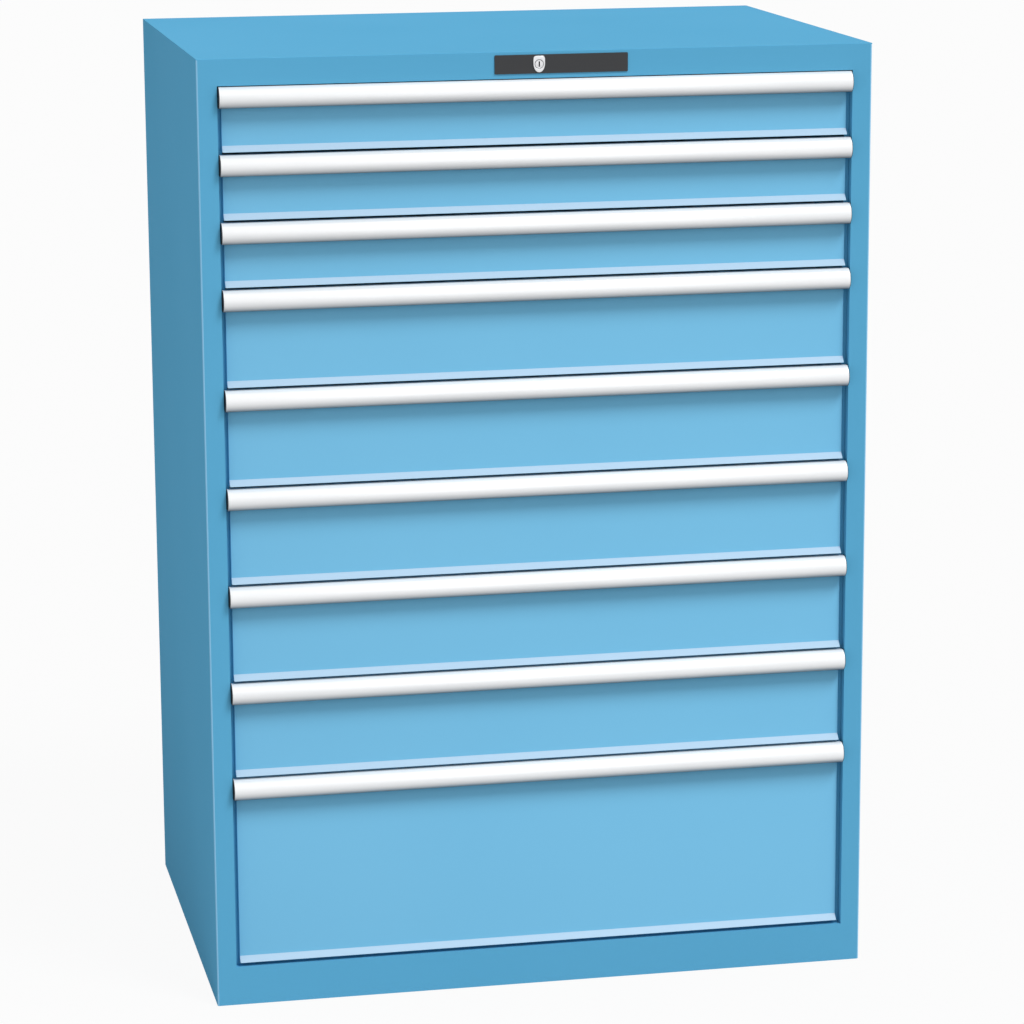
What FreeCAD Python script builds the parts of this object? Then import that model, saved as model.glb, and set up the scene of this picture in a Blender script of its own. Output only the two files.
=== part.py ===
import FreeCAD, Part
import math
import os
import Sketcher

# Modular drawer cabinet: a folded sheet-steel housing with nine full-width drawers.
# Origin on the floor under the middle of the housing, X right, +Y to the back, +Z up, millimetres.

doc = FreeCAD.newDocument("drawer_cabinet")
dims = doc.addObject("Spreadsheet::Sheet", "dims")

SIZES = {
    # Housing
    "cabinet_width": 1023,
    "cabinet_depth": 725,
    "plinth_height": 60,
    "top_rail_height": 40,
    "height_unit": 25,
    "panel_sheet": 1.5,
    "bend_radius": 2.5,
    "post_width": 30,
    "rebate_depth": 16,
    "rear_flange": 15,
    "foot_flange": 25,
    "sill_lip": 5,
    "floor_hole": 11,
    "floor_hole_spread": 800,
    "rivet_width": 6,
    "rivet_head": 1,
    "lid_rounding": 0.9,
    "rivet_pitch": 320,
    # Drawer stack from the top down, in height units
    "drawer_1_units": 4,
    "drawer_2_units": 4,
    "drawer_3_units": 4,
    "drawer_4_units": 6,
    "drawer_5_units": 6,
    "drawer_6_units": 6,
    "drawer_7_units": 6,
    "drawer_8_units": 6,
    "drawer_9_units": 12,
    # Uprights and fixed rails
    "upright_depth": 20,
    "upright_width": 30,
    "upright_inset": 45,
    "upright_slot_width": 7,
    "upright_slot_height": 10,
    "rail_depth": 16,
    "rail_height": 25,
    "rail_sheet": 1.5,
    "rail_setback": 33,
    "rail_rear_gap": 20,
    "hook_width": 5,
    "hook_height": 6,
    "hook_reach": 4,
    # Carriages between rail and drawer
    "travel_margin": 4,
    "beam_sheet": 2,
    "beam_height": 18,
    "beam_gap": 1.4,
    "beam_setback": 22,
    "beam_rear_gap": 18,
    "roller_gap": 0.3,
    "roller_side_gap": 1,
    "inner_roller_gap": 0.5,
    "roller_end_gap": 15,
    "axle_width": 6,
    "axle_fit": 0.05,
    # Drawer trays
    "channel_gap": 0.6,
    "channel_depth": 10,
    "channel_height": 21,
    "tray_sheet": 1,
    "tray_lift": 6,
    "tray_drop": 16,
    "tray_rear_space": 95,
    "slot_pitch": 34,
    "slot_width": 2,
    "slot_top_edge": 12,
    "slot_low_edge": 42,
    "lug_height": 8,
    "lug_sheet": 3,
    "lug_lift": 50,
    "lug_gap": 2,
    # Drawer fronts and handles
    "front_side_gap": 6.5,
    "front_setback": 10,
    "front_sheet": 1,
    "front_gap": 2.5,
    "lowest_front_gap": 6,
    "front_top_gap": 1.5,
    "sill_height": 9,
    "sill_reach": 8.5,
    "handle_side_gap": 1.5,
    "handle_height": 31,
    "handle_bulge": 12,
    "handle_fall": 1.5,
    "handle_wall": 1.5,
    "handle_strip": 14,
    "end_cap": 2,
    # Lock
    "lock_offset": -2,
    "lock_drop": 19,
    "lock_strip_width": 202,
    "lock_strip_height": 28,
    "lock_strip_shift": 34,
    "lock_strip_thickness": 1.5,
    "lock_strip_corner": 1.5,
    "escutcheon_width": 18,
    "escutcheon_height": 24.5,
    "escutcheon_dome": 2.5,
    "escutcheon_foot_width": 14,
    "escutcheon_foot_height": 7,
    "escutcheon_corner": 1.5,
    "escutcheon_thickness": 1.6,
    "escutcheon_bevel": 0.8,
    "barrel_width": 12,
    "barrel_fit": 0.1,
    "barrel_length": 24,
    "keyhole_width": 2,
    "keyhole_height": 8,
    "keyhole_depth": 5,
    "cam_arm": 12,
    "cam_sheet": 2.5,
    "pin_width": 4,
    "pin_play": 0.7,
    "rod_height": 16,
    "rod_sheet": 2,
    "rod_drop": 10,
    "rod_gap": 0.5,
    "bar_sheet": 3,
    "bar_setback": 21,
    "bar_margin": 3,
    "bar_drop": 12,
    "bar_foot": 30,
    "bar_head": 45,
    "finger_reach": 7,
    "guide_height": 20,
    "guide_wall": 3,
    "guide_play": 0.3,
    "bar_guide_margin": 175,
    "rod_guide_margin": 110,
}

for row, (alias, size) in enumerate(SIZES.items(), start=1):
    dims.set("A%d" % row, alias)
    dims.set("B%d" % row, str(size))
    dims.setAlias("B%d" % row, alias)
doc.recompute()

DRAWERS = range(1, 10)
PARTS = []


def size(expression):
    """The number that an expression on the sheet gives."""
    return dims.evalExpression(expression)


def level(number):
    """Height of the floor of a drawer's place in the stack."""
    below = ["dims.drawer_%d_units" % other for other in DRAWERS if other > number]
    return "(dims.plinth_height + dims.height_unit * (%s))" % " + ".join(below + ["0"])


def ceiling(number):
    """Height of the top of a drawer's place in the stack."""
    return "(%s + dims.height_unit * dims.drawer_%d_units)" % (level(number), number)


# Planes that several pieces share, outwards from the middle and back from the front face
FRONT = "(-dims.cabinet_depth / 2)"
BACK = "(dims.cabinet_depth / 2)"
OPENING_TOP = ceiling(1)
TOP = "(%s + dims.top_rail_height)" % OPENING_TOP
SIDE_OUT = "(dims.cabinet_width / 2)"
SIDE_IN = "(dims.cabinet_width / 2 - dims.panel_sheet)"
POST_IN = "(dims.cabinet_width / 2 - dims.post_width)"
UPRIGHT_FACE = "(%s - dims.upright_depth)" % SIDE_IN
RAIL_EDGE = "(%s - dims.rail_depth)" % UPRIGHT_FACE
BEAM_OUT = "(%s - dims.beam_gap)" % RAIL_EDGE
BEAM_IN = "(%s - dims.beam_sheet)" % BEAM_OUT
CHANNEL_EDGE = "(%s - dims.channel_gap)" % BEAM_IN
TRAY_SIDE = "(%s - dims.channel_depth)" % CHANNEL_EDGE
REBATE = "(%s + dims.rebate_depth)" % FRONT
TRAY_BACK = "(%s - dims.tray_rear_space)" % BACK
TRAVEL = "(%s - %s - dims.travel_margin)" % (TRAY_BACK, REBATE)
FACE = "(%s + dims.front_setback)" % FRONT
FRONT_WIDTH = "((%s - dims.front_side_gap) * 2)" % POST_IN
HANDLE_WIDTH = "((%s - dims.handle_side_gap) * 2)" % POST_IN
RAIL_START = "(%s + dims.rail_setback)" % FRONT
RAIL_END = "(%s - dims.panel_sheet * 2 - dims.rail_rear_gap)" % BACK
BEAM_START = "(%s + dims.beam_setback)" % FRONT
BEAM_END = "(%s - dims.beam_rear_gap)" % TRAY_BACK
BAR_FRONT = "(%s + dims.bar_setback)" % FRONT
BAR_BACK = "(%s + dims.bar_sheet)" % BAR_FRONT
LOCK_LEVEL = "(%s - dims.lock_drop)" % TOP
ROD_FRONT = "(%s + dims.rod_gap)" % BAR_BACK
ROD_LEVEL = "(%s - dims.rod_drop)" % LOCK_LEVEL
BAR_IN = "(%s + dims.bar_margin)" % RAIL_EDGE
BAR_OUT = "(%s - dims.guide_play * 3)" % UPRIGHT_FACE
LOCK_HOLE = "(dims.barrel_width + dims.barrel_fit * 2)"


def slide_level(number):
    """Height of the middle of a drawer's runners, one unit above its floor."""
    return "(%s + dims.height_unit)" % level(number)


def new_body(label):
    body = doc.addObject("PartDesign::Body", label)
    body.Label = label
    PARTS.append(body)
    return body


def plane(body, role):
    return [item for item in body.Origin.OriginFeatures if item.Role == role][0]


def hold(sketch, kind, target, expression):
    """Binds one measure of a sketch's geometry to an expression."""
    constraint = Sketcher.Constraint(kind, *target, size(expression))
    number = sketch.addConstraint(constraint)
    sketch.setExpression("Constraints[%d]" % number, expression)


def outline(body, role, points, depth="0"):
    """A closed outline of straight lines on one of the body's planes, moved along the plane's
    normal by depth. Each point is a pair of expressions."""
    sketch = body.newObject("Sketcher::SketchObject", body.Label + "_outline")
    sketch.AttachmentSupport = [(plane(body, role), "")]
    sketch.MapMode = "FlatFace"
    sketch.setExpression(".AttachmentOffset.Base.z", depth)
    corners = [FreeCAD.Vector(size(across), size(along), 0) for across, along in points]
    for index, corner in enumerate(corners):
        following = corners[(index + 1) % len(corners)]
        sketch.addGeometry(Part.LineSegment(corner, following), False)
    for index in range(len(corners)):
        following = (index + 1) % len(corners)
        sketch.addConstraint(Sketcher.Constraint("Coincident", index, 2, following, 1))
    for index, (across, along) in enumerate(points):
        hold(sketch, "DistanceX", (index, 1), across)
        hold(sketch, "DistanceY", (index, 1), along)
    return sketch


def rectangle(body, role, left, right, low, high, depth="0"):
    corners = [(left, low), (right, low), (right, high), (left, high)]
    return outline(body, role, corners, depth)


def circle(body, role, across, along, width, depth="0"):
    sketch = body.newObject("Sketcher::SketchObject", body.Label + "_circle")
    sketch.AttachmentSupport = [(plane(body, role), "")]
    sketch.MapMode = "FlatFace"
    sketch.setExpression(".AttachmentOffset.Base.z", depth)
    centre = FreeCAD.Vector(size(across), size(along), 0)
    normal = FreeCAD.Vector(0, 0, 1)
    sketch.addGeometry(Part.Circle(centre, normal, size(width) / 2), False)
    hold(sketch, "DistanceX", (0, 3), across)
    hold(sketch, "DistanceY", (0, 3), along)
    hold(sketch, "Diameter", (0,), width)
    return sketch


def pad(body, sketch, length, both_sides=False, backwards=False):
    feature = body.newObject("PartDesign::Pad", body.Label + "_pad")
    feature.Profile = sketch
    feature.Length = size(length)
    feature.setExpression("Length", length)
    feature.Midplane = both_sides
    feature.Reversed = backwards
    doc.recompute()
    return feature


def pocket(body, sketch, length, both_sides=False, backwards=False):
    """Cuts the outline out of the body, and fails where nothing is cut."""
    before = body.Shape.Volume
    feature = body.newObject("PartDesign::Pocket", body.Label + "_pocket")
    feature.Profile = sketch
    feature.Length = size(length)
    feature.setExpression("Length", length)
    feature.Midplane = both_sides
    feature.Reversed = backwards
    doc.recompute()
    if not body.Shape.Volume < before:
        raise ValueError("nothing cut from " + body.Label)
    return feature


def row_of(body, feature, axis, pitch, count):
    """Repeats a feature along one of its sketch's axes at a fixed pitch."""
    pattern = body.newObject("PartDesign::LinearPattern", body.Label + "_row")
    pattern.Originals = [feature]
    pattern.Direction = (feature.Profile[0], [axis])
    pattern.Mode = "Spacing"
    pattern.setExpression("Offset", pitch)
    pattern.setExpression("Occurrences", count)
    body.Tip = pattern
    doc.recompute()
    return pattern


def round_edges(body, base, radius, chosen):
    """Rounds the edges of a feature whose middle point is chosen."""
    names = []
    for index, edge in enumerate(base.Shape.Edges, start=1):
        if chosen(edge):
            names.append("Edge%d" % index)
    fillet = body.newObject("PartDesign::Fillet", body.Label + "_rounding")
    fillet.Base = (base, names)
    fillet.Radius = size(radius)
    fillet.setExpression("Radius", radius)
    doc.recompute()
    return fillet


def near(number, target):
    return abs(number - target) < 0.01


def mirrored(label, source):
    """The same piece for the other side of the cabinet."""
    twin = doc.addObject("Part::Mirroring", label)
    twin.Source = source
    twin.Normal = (1, 0, 0)
    twin.Base = (0, 0, 0)
    twin.Label = label
    PARTS.append(twin)
    return twin


def group(label, members):
    """Like pieces that share one node, each a solid of its own."""
    compound = doc.addObject("Part::Compound", label)
    compound.Links = members
    compound.Label = label
    for member in members:
        if member in PARTS:
            PARTS.remove(member)
    PARTS.append(compound)
    return compound


# Housing


def side_panel():
    """One folded sheet: front post with a rebate for the drawers, side wall and rear flange. Only
    the outer corner is round: the post's inner edge meets the top and foot rails flush."""
    body = new_body("right_side_panel")
    inner_post = "(%s + dims.panel_sheet)" % POST_IN
    rebate_back = "(%s + dims.panel_sheet)" % REBATE
    front_inner = "(%s + dims.panel_sheet)" % FRONT
    flange_front = "(%s - dims.panel_sheet * 2)" % BACK
    flange_back = "(%s - dims.panel_sheet)" % BACK
    flange_edge = "(%s - dims.rear_flange)" % SIDE_IN
    profile = [
        (POST_IN, FRONT),
        (SIDE_OUT, FRONT),
        (SIDE_OUT, BACK),
        (SIDE_IN, BACK),
        (SIDE_IN, flange_back),
        (flange_edge, flange_back),
        (flange_edge, flange_front),
        (SIDE_IN, flange_front),
        (SIDE_IN, front_inner),
        (inner_post, front_inner),
        (inner_post, rebate_back),
        (RAIL_EDGE, rebate_back),
        (RAIL_EDGE, REBATE),
        (POST_IN, REBATE),
    ]
    wall = pad(body, outline(body, "XY_Plane", profile), "%s - dims.panel_sheet" % TOP)

    def outer_fold(edge):
        middle = edge.CenterOfMass
        upright = near(edge.BoundBox.XLength, 0) and near(edge.BoundBox.YLength, 0)
        return upright and near(middle.y, size(FRONT)) and near(middle.x, size(SIDE_OUT))

    def inner_fold(edge):
        middle = edge.CenterOfMass
        upright = near(edge.BoundBox.XLength, 0) and near(edge.BoundBox.YLength, 0)
        return upright and near(middle.y, size(front_inner)) and near(middle.x, size(SIDE_IN))

    folded = round_edges(body, wall, "dims.bend_radius", outer_fold)
    round_edges(body, folded, "dims.bend_radius - dims.panel_sheet", inner_fold)
    return body


def top_panel():
    """Lid sheet with its front folded down as a rail between the posts."""
    body = new_body("top_panel")
    under = "(%s - dims.panel_sheet)" % TOP
    lid = pad(
        body,
        rectangle(body, "XY_Plane", "-" + SIDE_OUT, SIDE_OUT, FRONT, BACK, under),
        "dims.panel_sheet",
    )

    def rim(edge):
        return near(edge.CenterOfMass.z, size(TOP))

    round_edges(body, lid, "dims.lid_rounding", rim)
    front_inner = "(%s + dims.panel_sheet)" % FRONT
    ledge = "(%s + dims.panel_sheet)" % OPENING_TOP
    rebate_back = "(%s + dims.panel_sheet)" % REBATE
    profile = [
        (FRONT, under),
        (FRONT, OPENING_TOP),
        (REBATE, OPENING_TOP),
        (REBATE, ledge),
        (front_inner, ledge),
        (front_inner, under),
    ]
    pad(body, outline(body, "YZ_Plane", profile), "%s * 2" % POST_IN, both_sides=True)
    lip = rectangle(
        body, "YZ_Plane", REBATE, rebate_back, OPENING_TOP, "(%s + dims.sill_lip)" % ledge
    )
    pad(body, lip, "%s * 2" % RAIL_EDGE, both_sides=True)
    hole = circle(body, "XZ_Plane", "dims.lock_offset", LOCK_LEVEL, LOCK_HOLE, "-" + FRONT)
    pocket(body, hole, "dims.panel_sheet * 4", both_sides=True)
    return body


FLOOR_HOLE_FRONT = "(%s + dims.foot_flange / 2)" % FRONT
FLOOR_HOLE_BACK = "(%s - dims.foot_flange / 2)" % BACK


def base_panel():
    """Plinth: floor sheet folded down front and back onto foot flanges, with a sill lip that
    closes the gap under the lowest drawer, and four holes for floor bolts."""
    body = new_body("base_panel")
    rear = "(%s - dims.panel_sheet * 2)" % BACK
    front_inner = "(%s + dims.panel_sheet)" % FRONT
    rear_inner = "(%s - dims.panel_sheet)" % rear
    deck = "(dims.plinth_height - dims.panel_sheet)"
    profile = [
        (FRONT, "0"),
        ("(%s + dims.foot_flange)" % FRONT, "0"),
        ("(%s + dims.foot_flange)" % FRONT, "dims.panel_sheet"),
        (front_inner, "dims.panel_sheet"),
        (front_inner, deck),
        (rear_inner, deck),
        (rear_inner, "dims.panel_sheet"),
        ("(%s - dims.foot_flange)" % rear, "dims.panel_sheet"),
        ("(%s - dims.foot_flange)" % rear, "0"),
        (rear, "0"),
        (rear, "dims.plinth_height"),
        (FRONT, "dims.plinth_height"),
    ]
    pad(body, outline(body, "YZ_Plane", profile), "%s * 2" % RAIL_EDGE, both_sides=True)
    face = [
        (FRONT, "0"),
        (front_inner, "0"),
        (front_inner, deck),
        (REBATE, deck),
        (REBATE, "dims.plinth_height"),
        (FRONT, "dims.plinth_height"),
    ]
    pad(body, outline(body, "YZ_Plane", face), "%s * 2" % POST_IN, both_sides=True)
    lip = rectangle(
        body,
        "YZ_Plane",
        REBATE,
        "(%s + dims.panel_sheet)" % REBATE,
        deck,
        "(dims.plinth_height + dims.sill_lip)",
    )
    pad(body, lip, "%s * 2" % RAIL_EDGE, both_sides=True)
    for side in ("", "-"):
        edges = [side + RAIL_EDGE, side + SIDE_IN]
        if side:
            edges.reverse()
        wing = rectangle(
            body, "XY_Plane", edges[0], edges[1], "(%s + dims.panel_sheet * 2)" % REBATE, rear, deck
        )
        pad(body, wing, "dims.panel_sheet")
    for across in ("-dims.floor_hole_spread / 2", "dims.floor_hole_spread / 2"):
        for along in (FLOOR_HOLE_FRONT, FLOOR_HOLE_BACK):
            hole = circle(body, "XY_Plane", across, along, "dims.floor_hole")
            pocket(body, hole, "dims.panel_sheet * 4", both_sides=True)
    return body


RIVET_COUNT = "floor((%s - dims.rivet_pitch / 2) / dims.rivet_pitch) + 1" % TOP
RIVET_LINE = "(%s - dims.rear_flange / 2)" % SIDE_IN
LOWEST_RIVET = "dims.rivet_pitch / 2"


def back_panel():
    """Flat sheet let in between the side walls, riveted to their rear flanges."""
    body = new_body("back_panel")
    under_lid = "(%s - dims.panel_sheet)" % TOP
    sheet = rectangle(body, "XZ_Plane", "-" + SIDE_IN, SIDE_IN, "0", under_lid, "-" + BACK)
    pad(body, sheet, "dims.panel_sheet")
    for across in ("-" + RIVET_LINE, RIVET_LINE):
        hole = circle(body, "XZ_Plane", across, LOWEST_RIVET, "dims.rivet_width", "-" + BACK)
        first = pocket(body, hole, "dims.panel_sheet * 2", both_sides=True)
        row_of(body, first, "V_Axis", "dims.rivet_pitch", RIVET_COUNT)
    return body


def back_rivets():
    """Flat-headed rivets that hold the back panel, each with its shank in the sheet."""
    rivets = []
    for across in ("-" + RIVET_LINE, RIVET_LINE):
        for index in range(int(size(RIVET_COUNT))):
            along = "(%s + dims.rivet_pitch * %d)" % (LOWEST_RIVET, index)
            rivet = new_body("rivet")
            shank = circle(rivet, "XZ_Plane", across, along, "dims.rivet_width", "-" + BACK)
            pad(rivet, shank, "dims.panel_sheet")
            head = circle(rivet, "XZ_Plane", across, along, "dims.rivet_width * 2", "-" + BACK)
            pad(rivet, head, "dims.rivet_head", backwards=True)
            rivets.append(rivet)
    return group("back_panel_rivets", rivets)


FRONT_UPRIGHT = "(%s + dims.upright_inset)" % FRONT
REAR_UPRIGHT = "(%s - dims.upright_inset - dims.upright_width)" % BACK


def upright(label, start):
    """Perforated channel on the side wall, with a slot at every second height unit for a hook."""
    body = new_body(label)
    end = "(%s + dims.upright_width)" % start
    web = "(%s + dims.panel_sheet)" % UPRIGHT_FACE
    profile = [
        (UPRIGHT_FACE, start),
        (SIDE_IN, start),
        (SIDE_IN, "(%s + dims.panel_sheet)" % start),
        (web, "(%s + dims.panel_sheet)" % start),
        (web, "(%s - dims.panel_sheet)" % end),
        (SIDE_IN, "(%s - dims.panel_sheet)" % end),
        (SIDE_IN, end),
        (UPRIGHT_FACE, end),
    ]
    length = "(%s - dims.plinth_height)" % OPENING_TOP
    pad(body, outline(body, "XY_Plane", profile, "dims.plinth_height"), length)
    middle = "(%s + dims.upright_width / 2)" % start
    first = "(dims.plinth_height + dims.height_unit)"
    slot = rectangle(
        body,
        "YZ_Plane",
        "(%s - dims.upright_slot_width / 2)" % middle,
        "(%s + dims.upright_slot_width / 2)" % middle,
        "(%s - dims.upright_slot_height / 2)" % first,
        "(%s + dims.upright_slot_height / 2)" % first,
        UPRIGHT_FACE,
    )
    cut = pocket(body, slot, "dims.panel_sheet * 4", both_sides=True)
    row_of(body, cut, "V_Axis", "dims.height_unit * 2", "floor(%s / dims.height_unit / 2)" % length)
    return body


def uprights():
    front = upright("front_upright", FRONT_UPRIGHT)
    rear = upright("rear_upright", REAR_UPRIGHT)
    twins = [mirrored("left_front_upright", front), mirrored("left_rear_upright", rear)]
    return group("uprights", [front, rear] + twins)


def fixed_rail(number):
    """Channel that the outer rollers run in, hooked into both uprights of its side."""
    body = new_body("rail_%d" % number)
    middle = slide_level(number)
    web = "(%s - dims.rail_sheet)" % UPRIGHT_FACE
    top = "(%s + dims.rail_height / 2)" % middle
    low = "(%s - dims.rail_height / 2)" % middle
    profile = [
        (RAIL_EDGE, low),
        (UPRIGHT_FACE, low),
        (UPRIGHT_FACE, top),
        (RAIL_EDGE, top),
        (RAIL_EDGE, "(%s - dims.rail_sheet)" % top),
        (web, "(%s - dims.rail_sheet)" % top),
        (web, "(%s + dims.rail_sheet)" % low),
        (RAIL_EDGE, "(%s + dims.rail_sheet)" % low),
    ]
    sketch = outline(body, "XZ_Plane", profile, "-" + RAIL_END)
    pad(body, sketch, "(%s - %s)" % (RAIL_END, RAIL_START))
    for start in (FRONT_UPRIGHT, REAR_UPRIGHT):
        centre = "(%s + dims.upright_width / 2)" % start
        hook = rectangle(
            body,
            "YZ_Plane",
            "(%s - dims.hook_width / 2)" % centre,
            "(%s + dims.hook_width / 2)" % centre,
            "(%s - dims.hook_height / 2)" % middle,
            "(%s + dims.hook_height / 2)" % middle,
            UPRIGHT_FACE,
        )
        pad(body, hook, "dims.hook_reach")
    return body


def fixed_rails():
    rails = [fixed_rail(number) for number in DRAWERS]
    twins = [mirrored("left_" + rail.Label, rail) for rail in rails]
    return group("fixed_rails", rails + twins)


# Drawers

SLOT_RUN = "(%s - %s - dims.tray_sheet * 2)" % (TRAY_BACK, REBATE)
LUG_EDGE = "(%s - dims.channel_gap)" % RAIL_EDGE


def tray(number):
    """Open steel box with slotted side walls, runner channels and the lug that the lock holds."""
    body = new_body("drawer_%d_tray" % number)
    floor = "(%s + dims.tray_lift)" % level(number)
    rim = "(%s - dims.tray_drop)" % ceiling(number)
    base = rectangle(body, "XY_Plane", "-" + TRAY_SIDE, TRAY_SIDE, REBATE, TRAY_BACK, floor)
    block = pad(body, base, "(%s - %s)" % (rim, floor))
    shell = body.newObject("PartDesign::Thickness", body.Label + "_shell")
    mouth = [
        "Face%d" % index
        for index, face in enumerate(block.Shape.Faces, start=1)
        if near(face.CenterOfMass.z, size(rim))
    ]
    shell.Base = (block, mouth)
    shell.Value = size("dims.tray_sheet")
    shell.setExpression("Value", "dims.tray_sheet")
    shell.Reversed = True
    shell.Join = 1
    doc.recompute()
    middle = slide_level(number)
    top = "(%s + dims.channel_height / 2)" % middle
    low = "(%s - dims.channel_height / 2)" % middle
    wall = "(%s + dims.rail_sheet)" % TRAY_SIDE
    profile = [
        (TRAY_SIDE, low),
        (CHANNEL_EDGE, low),
        (CHANNEL_EDGE, "(%s + dims.rail_sheet)" % low),
        (wall, "(%s + dims.rail_sheet)" % low),
        (wall, "(%s - dims.rail_sheet)" % top),
        (CHANNEL_EDGE, "(%s - dims.rail_sheet)" % top),
        (CHANNEL_EDGE, top),
        (TRAY_SIDE, top),
    ]
    length = "(%s - %s)" % (TRAY_BACK, REBATE)
    channel = pad(body, outline(body, "XZ_Plane", profile, "-" + TRAY_BACK), length)
    twin = body.newObject("PartDesign::Mirrored", body.Label + "_other_channel")
    twin.Originals = [channel]
    twin.MirrorPlane = (plane(body, "YZ_Plane"), [""])
    body.Tip = twin
    doc.recompute()
    slot_low = "(%s + dims.slot_low_edge)" % floor
    slot_top = "(%s - dims.slot_top_edge)" % rim
    first = "(%s + dims.tray_sheet + dims.slot_pitch / 2)" % REBATE
    slot = rectangle(
        body,
        "YZ_Plane",
        "(%s - dims.slot_width / 2)" % first,
        "(%s + dims.slot_width / 2)" % first,
        slot_low,
        slot_top,
    )
    cut = pocket(body, slot, "%s * 2 + dims.tray_sheet" % TRAY_SIDE, both_sides=True)
    row_of(body, cut, "H_Axis", "dims.slot_pitch", "floor(%s / dims.slot_pitch)" % SLOT_RUN)
    lug_low = "(%s + dims.lug_lift)" % level(number)
    lug = rectangle(
        body,
        "XZ_Plane",
        TRAY_SIDE,
        LUG_EDGE,
        lug_low,
        "(%s + dims.lug_height)" % lug_low,
        "-(%s + dims.lug_gap)" % BAR_BACK,
    )
    pad(body, lug, "dims.lug_sheet", backwards=True)
    return body


def front_bottom(number):
    gap = "dims.lowest_front_gap" if number == max(DRAWERS) else "dims.front_gap"
    return "(%s + %s)" % (level(number), gap)


def front(number):
    """Painted front pressed from one sheet: flat face, sloping sill at its foot, open behind."""
    body = new_body("drawer_%d_front" % number)
    low = front_bottom(number)
    top = "(%s - dims.front_top_gap)" % ceiling(number)
    profile = [
        (REBATE, low),
        ("(%s - dims.sill_reach)" % FACE, low),
        (FACE, "(%s + dims.sill_height)" % low),
        (FACE, top),
        (REBATE, top),
    ]
    block = pad(body, outline(body, "YZ_Plane", profile), FRONT_WIDTH, both_sides=True)
    shell = body.newObject("PartDesign::Thickness", body.Label + "_shell")
    rear = [
        "Face%d" % index
        for index, face in enumerate(block.Shape.Faces, start=1)
        if near(face.CenterOfMass.y, size(REBATE))
    ]
    shell.Base = (block, rear)
    shell.Value = size("dims.front_sheet")
    shell.setExpression("Value", "dims.front_sheet")
    shell.Reversed = True
    shell.Join = 1
    doc.recompute()
    return body


def handle_section(body, number, hollow, depth):
    """The handle's section: a round nose on a back strip, closed above and open below for the
    fingers. The end caps have the same outline, filled."""
    top = "(%s - dims.front_top_gap)" % ceiling(number)
    low = "(%s - dims.handle_height)" % top
    strip_low = "(%s - dims.handle_strip)" % top
    under = "(%s - dims.handle_wall)" % top
    radius = "(dims.handle_height / 2 + dims.handle_fall)"
    inner_radius = "(%s - dims.handle_wall)" % radius
    centre_y = "(%s - dims.handle_bulge + %s)" % (FRONT, radius)
    centre_z = "(%s - sqrt(pow(%s; 2) - pow(%s - dims.handle_bulge; 2)))" % (top, radius, radius)

    def on_nose(reach, height):
        return "(%s - sqrt(pow(%s; 2) - pow(%s - %s; 2)))" % (centre_y, reach, height, centre_z)

    if hollow:
        points = [
            (FACE, strip_low),
            (FACE, top),
            (FRONT, top),
            (on_nose(radius, low), low),
            (on_nose(inner_radius, low), low),
            (on_nose(inner_radius, under), under),
            ("(%s - dims.handle_wall)" % FACE, under),
            ("(%s - dims.handle_wall)" % FACE, strip_low),
        ]
        arcs = {2: radius, 4: inner_radius}
    else:
        points = [(FACE, low), (FACE, top), (FRONT, top), (on_nose(radius, low), low)]
        arcs = {2: radius}
    sketch = body.newObject("Sketcher::SketchObject", body.Label + "_section")
    sketch.AttachmentSupport = [(plane(body, "YZ_Plane"), "")]
    sketch.MapMode = "FlatFace"
    sketch.setExpression(".AttachmentOffset.Base.z", depth)
    corners = [FreeCAD.Vector(size(across), size(along), 0) for across, along in points]
    starts = []
    for index, corner in enumerate(corners):
        following = corners[(index + 1) % len(corners)]
        if index in arcs:
            centre = FreeCAD.Vector(size(centre_y), size(centre_z), 0)
            upper, lower = sorted((corner, following), key=lambda end: -end.y)
            start, end = [math.atan2(tip.y - centre.y, tip.x - centre.x) for tip in (upper, lower)]
            nose = Part.Circle(centre, FreeCAD.Vector(0, 0, 1), size(arcs[index]))
            sketch.addGeometry(Part.ArcOfCircle(nose, start, end + 2 * math.pi), False)
        else:
            sketch.addGeometry(Part.LineSegment(corner, following), False)
        # An arc runs anticlockwise, so on the way back up its ends swap
        drawn = sketch.Geometry[index]
        starts.append(1 if drawn.StartPoint.distanceToPoint(corner) < 0.001 else 2)
    for index in range(len(corners)):
        following = (index + 1) % len(corners)
        joined = Sketcher.Constraint(
            "Coincident", index, 3 - starts[index], following, starts[following]
        )
        sketch.addConstraint(joined)
    for index, (across, along) in enumerate(points):
        hold(sketch, "DistanceX", (index, starts[index]), across)
        hold(sketch, "DistanceY", (index, starts[index]), along)
    for index in arcs:
        hold(sketch, "DistanceX", (index, 3), centre_y)
    return sketch


def handle(number):
    """Extruded grip rail across the whole front, with finger room from below."""
    body = new_body("drawer_%d_handle" % number)
    section = handle_section(body, number, hollow=True, depth="0")
    pad(body, section, "%s - dims.end_cap * 2" % HANDLE_WIDTH, both_sides=True)
    return body


def end_caps(number):
    """Plug-in plates that close both ends of the grip rail."""
    cap = new_body("right_cap")
    start = "%s / 2 - dims.end_cap" % HANDLE_WIDTH
    section = handle_section(cap, number, hollow=False, depth=start)
    pad(cap, section, "dims.end_cap")
    return group("drawer_%d_handle_end_caps" % number, [cap, mirrored("left_cap", cap)])


def roller(number, inner, outer, along, width):
    """Turned wheel that runs on a pin of the beam."""
    wheel = new_body("roller")
    middle = slide_level(number)
    disc = circle(wheel, "YZ_Plane", along, middle, width, inner)
    pad(wheel, disc, "(%s - %s)" % (outer, inner))
    bore = circle(wheel, "YZ_Plane", along, middle, "dims.axle_width + dims.axle_fit * 2", inner)
    pocket(wheel, bore, "(%s - %s)" % (outer, inner), backwards=True)
    return wheel


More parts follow.
